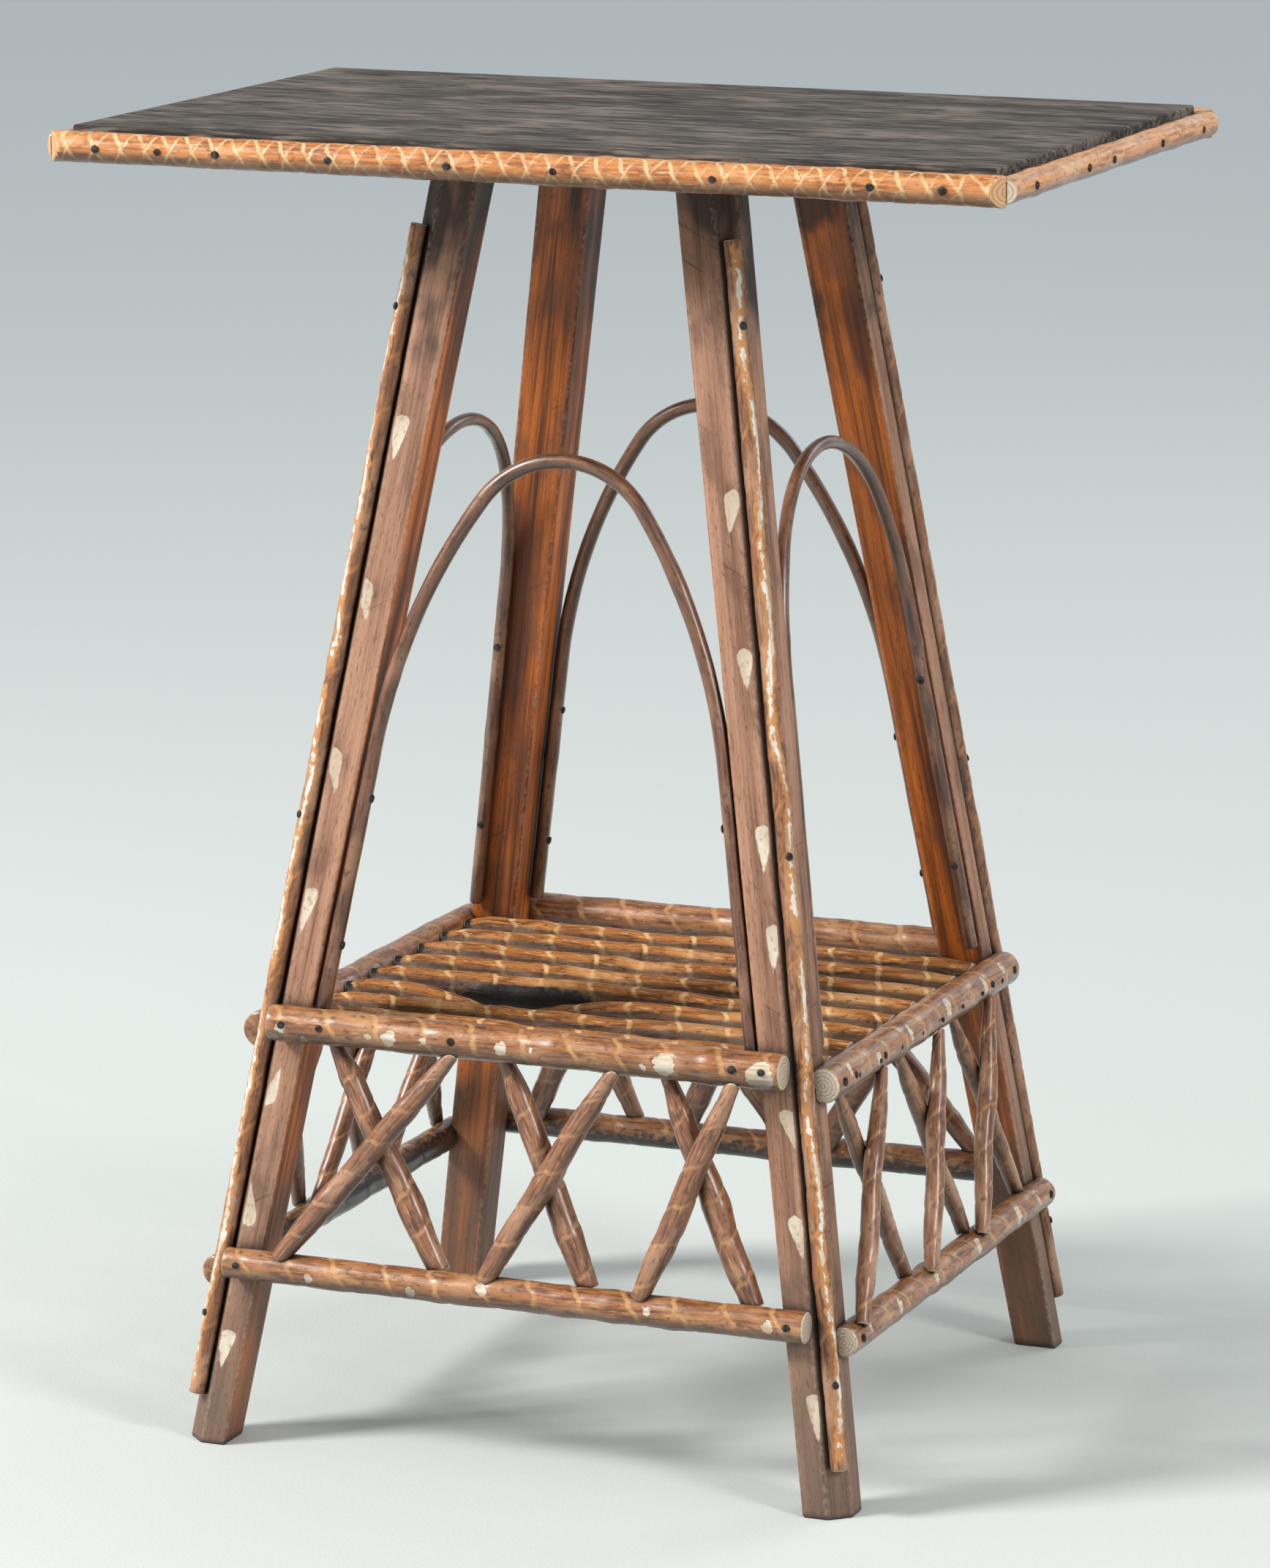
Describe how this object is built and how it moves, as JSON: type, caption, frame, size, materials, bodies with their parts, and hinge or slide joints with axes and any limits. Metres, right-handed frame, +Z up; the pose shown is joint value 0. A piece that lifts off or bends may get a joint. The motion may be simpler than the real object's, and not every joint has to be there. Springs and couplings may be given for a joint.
{
  "type": "twig table",
  "caption": "Tall rustic side table with splayed sawn legs, twig-edged board top, bentwood arches, a slatted twig shelf and crossed-twig lattice below it.",
  "frame": {"origin": "middle of the table on the floor, between the four feet", "axes": "+Z up, +X along the long side of the top to the right seen from the front, front faces -Y"},
  "size_m": [0.5604, 0.3944, 0.735],
  "materials": {
    "top_board": "weathered stain, grain along X",
    "edge_twig": "bark twig with chip-carved lines",
    "leg_timber": "stained sawn timber with pale chips",
    "corner_twig": "bark twig with peeled strips",
    "batten": "plain sawn timber",
    "rail_twig": "bark twig with tan ticks",
    "lattice_twig": "bark twig, whittled ends",
    "shelf_twig": "bark twig with tan rings",
    "bent_rod": "smooth peeled shoot, satin",
    "nail": "dull grey steel nail"
  },
  "bodies": {
    "root": {"top_board": "top_board", "edge_band_front": "edge_twig", "edge_band_right": "edge_twig", "edge_band_back": "edge_twig", "edge_band_left": "edge_twig", "leg_front_left": "leg_timber", "corner_twig_front_left": "corner_twig", "leg_front_right": "leg_timber", "corner_twig_front_right": "corner_twig", "leg_back_right": "leg_timber", "corner_twig_back_right": "corner_twig", "leg_back_left": "leg_timber", "corner_twig_back_left": "corner_twig", "top_batten_left": "batten", "top_batten_right": "batten", "upper_rail_front": "rail_twig", "lower_rail_front": "rail_twig", "arch_front": "bent_rod", "lattice_front_rise_1": "lattice_twig", "lattice_front_rise_2": "lattice_twig", "lattice_front_rise_3": "lattice_twig", "lattice_front_fall_1": "lattice_twig", "lattice_front_fall_2": "lattice_twig", "lattice_front_fall_3": "lattice_twig", "upper_rail_right": "rail_twig", "lower_rail_right": "rail_twig", "arch_right": "bent_rod", "lattice_right_rise_1": "lattice_twig", "lattice_right_rise_2": "lattice_twig", "lattice_right_rise_3": "lattice_twig", "lattice_right_fall_1": "lattice_twig", "lattice_right_fall_2": "lattice_twig", "lattice_right_fall_3": "lattice_twig", "upper_rail_back": "rail_twig", "lower_rail_back": "rail_twig", "arch_back": "bent_rod", "lattice_back_rise_1": "lattice_twig", "lattice_back_rise_2": "lattice_twig", "lattice_back_rise_3": "lattice_twig", "lattice_back_fall_1": "lattice_twig", "lattice_back_fall_2": "lattice_twig", "lattice_back_fall_3": "lattice_twig", "upper_rail_left": "rail_twig", "lower_rail_left": "rail_twig", "arch_left": "bent_rod", "lattice_left_rise_1": "lattice_twig", "lattice_left_rise_2": "lattice_twig", "lattice_left_rise_3": "lattice_twig", "lattice_left_fall_1": "lattice_twig", "lattice_left_fall_2": "lattice_twig", "lattice_left_fall_3": "lattice_twig", "shelf_twigs": "shelf_twig", "rail_nails": "nail", "corner_twig_nails": "nail", "arch_nails": "nail", "edge_band_nails": "nail", "batten_nails": "nail", "shelf_nails": "nail"}
  },
  "joints": []
}
